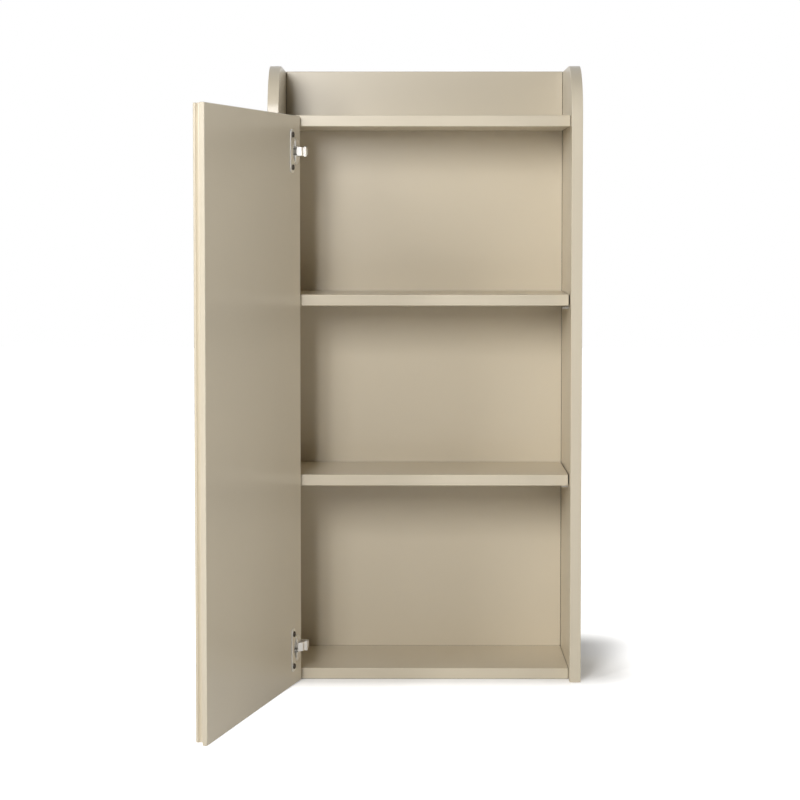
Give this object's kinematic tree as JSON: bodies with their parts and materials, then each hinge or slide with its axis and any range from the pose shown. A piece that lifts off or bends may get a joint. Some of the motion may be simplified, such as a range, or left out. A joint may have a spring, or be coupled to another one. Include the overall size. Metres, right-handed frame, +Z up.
{
  "type": "wall cabinet",
  "caption": "Narrow wall cabinet with round front corners, an open ledge, loose shelves and one inset door with a finger grip on concealed hinges",
  "frame": {"origin": "On the wall plane, on the centre line, at the height of the hangers", "axes": "X to the right, Y into the wall, Z up"},
  "size_m": [0.4044, 0.4609, 0.693],
  "materials": {
    "cream_lacquer": "satin",
    "nickel": "satin",
    "zinc_steel": "satin",
    "steel_pin": "satin",
    "beech": "matt"
  },
  "bodies": {
    "cabinet": {"left_side_panel": "cream_lacquer", "right_side_panel": "cream_lacquer", "back_panel": "cream_lacquer", "top_shelf": "cream_lacquer", "bottom_shelf": "cream_lacquer", "upper_shelf": "cream_lacquer", "lower_shelf": "cream_lacquer", "hanger_plates": "zinc_steel", "hanger_screws": "zinc_steel", "top_shelf_dowels": "beech", "bottom_shelf_dowels": "beech", "back_panel_dowels": "beech", "upper_shelf_pins": "steel_pin", "lower_shelf_pins": "steel_pin", "upper_arm_pins": "nickel", "upper_hinge_arm": "nickel", "upper_arm_screws": "zinc_steel", "upper_mounting_plate": "nickel", "upper_plate_screws": "zinc_steel", "lower_arm_pins": "nickel", "lower_hinge_arm": "nickel", "lower_arm_screws": "zinc_steel", "lower_mounting_plate": "nickel", "lower_plate_screws": "zinc_steel"},
    "door": {"door_panel": "cream_lacquer", "upper_hinge_cup": "nickel", "upper_cup_screws": "zinc_steel", "upper_cup_pins": "nickel", "lower_hinge_cup": "nickel", "lower_cup_screws": "zinc_steel", "lower_cup_pins": "nickel"},
    "upper_inner_link": {"upper_inner_link": "nickel"},
    "upper_outer_link": {"upper_outer_link": "nickel"},
    "lower_inner_link": {"lower_inner_link": "nickel"},
    "lower_outer_link": {"lower_outer_link": "nickel"}
  },
  "joints": [
    {"name": "door_swing", "type": "hinge", "parent": "upper_inner_link", "child": "door", "pos_m": [-0.14863, -0.15674, -0.33715], "axis": [0, 0, 1], "range_deg": [0, 123.11]},
    {"name": "upper_inner_link_turn", "type": "hinge", "parent": "cabinet", "child": "upper_inner_link", "pos_m": [-0.13395, -0.14763, -0.06], "axis": [0, 0, 1], "range_deg": [-19.12, 0]},
    {"name": "upper_outer_link_turn", "type": "hinge", "parent": "cabinet", "child": "upper_outer_link", "pos_m": [-0.13386, -0.15255, -0.06], "axis": [0, 0, 1], "range_deg": [-51.81, 0]},
    {"name": "lower_inner_link_turn", "type": "hinge", "parent": "cabinet", "child": "lower_inner_link", "pos_m": [-0.13395, -0.14763, -0.6143], "axis": [0, 0, 1], "range_deg": [-19.12, 0]},
    {"name": "lower_outer_link_turn", "type": "hinge", "parent": "cabinet", "child": "lower_outer_link", "pos_m": [-0.13386, -0.15255, -0.6143], "axis": [0, 0, 1], "range_deg": [-51.81, 0]}
  ],
  "couplings": [
    {"joint": "upper_inner_link_turn", "follows": "door_swing", "ratio": -0.15523},
    {"joint": "upper_outer_link_turn", "follows": "door_swing", "ratio": -0.42076},
    {"joint": "lower_inner_link_turn", "follows": "door_swing", "ratio": -0.15523},
    {"joint": "lower_outer_link_turn", "follows": "door_swing", "ratio": -0.42076}
  ]
}
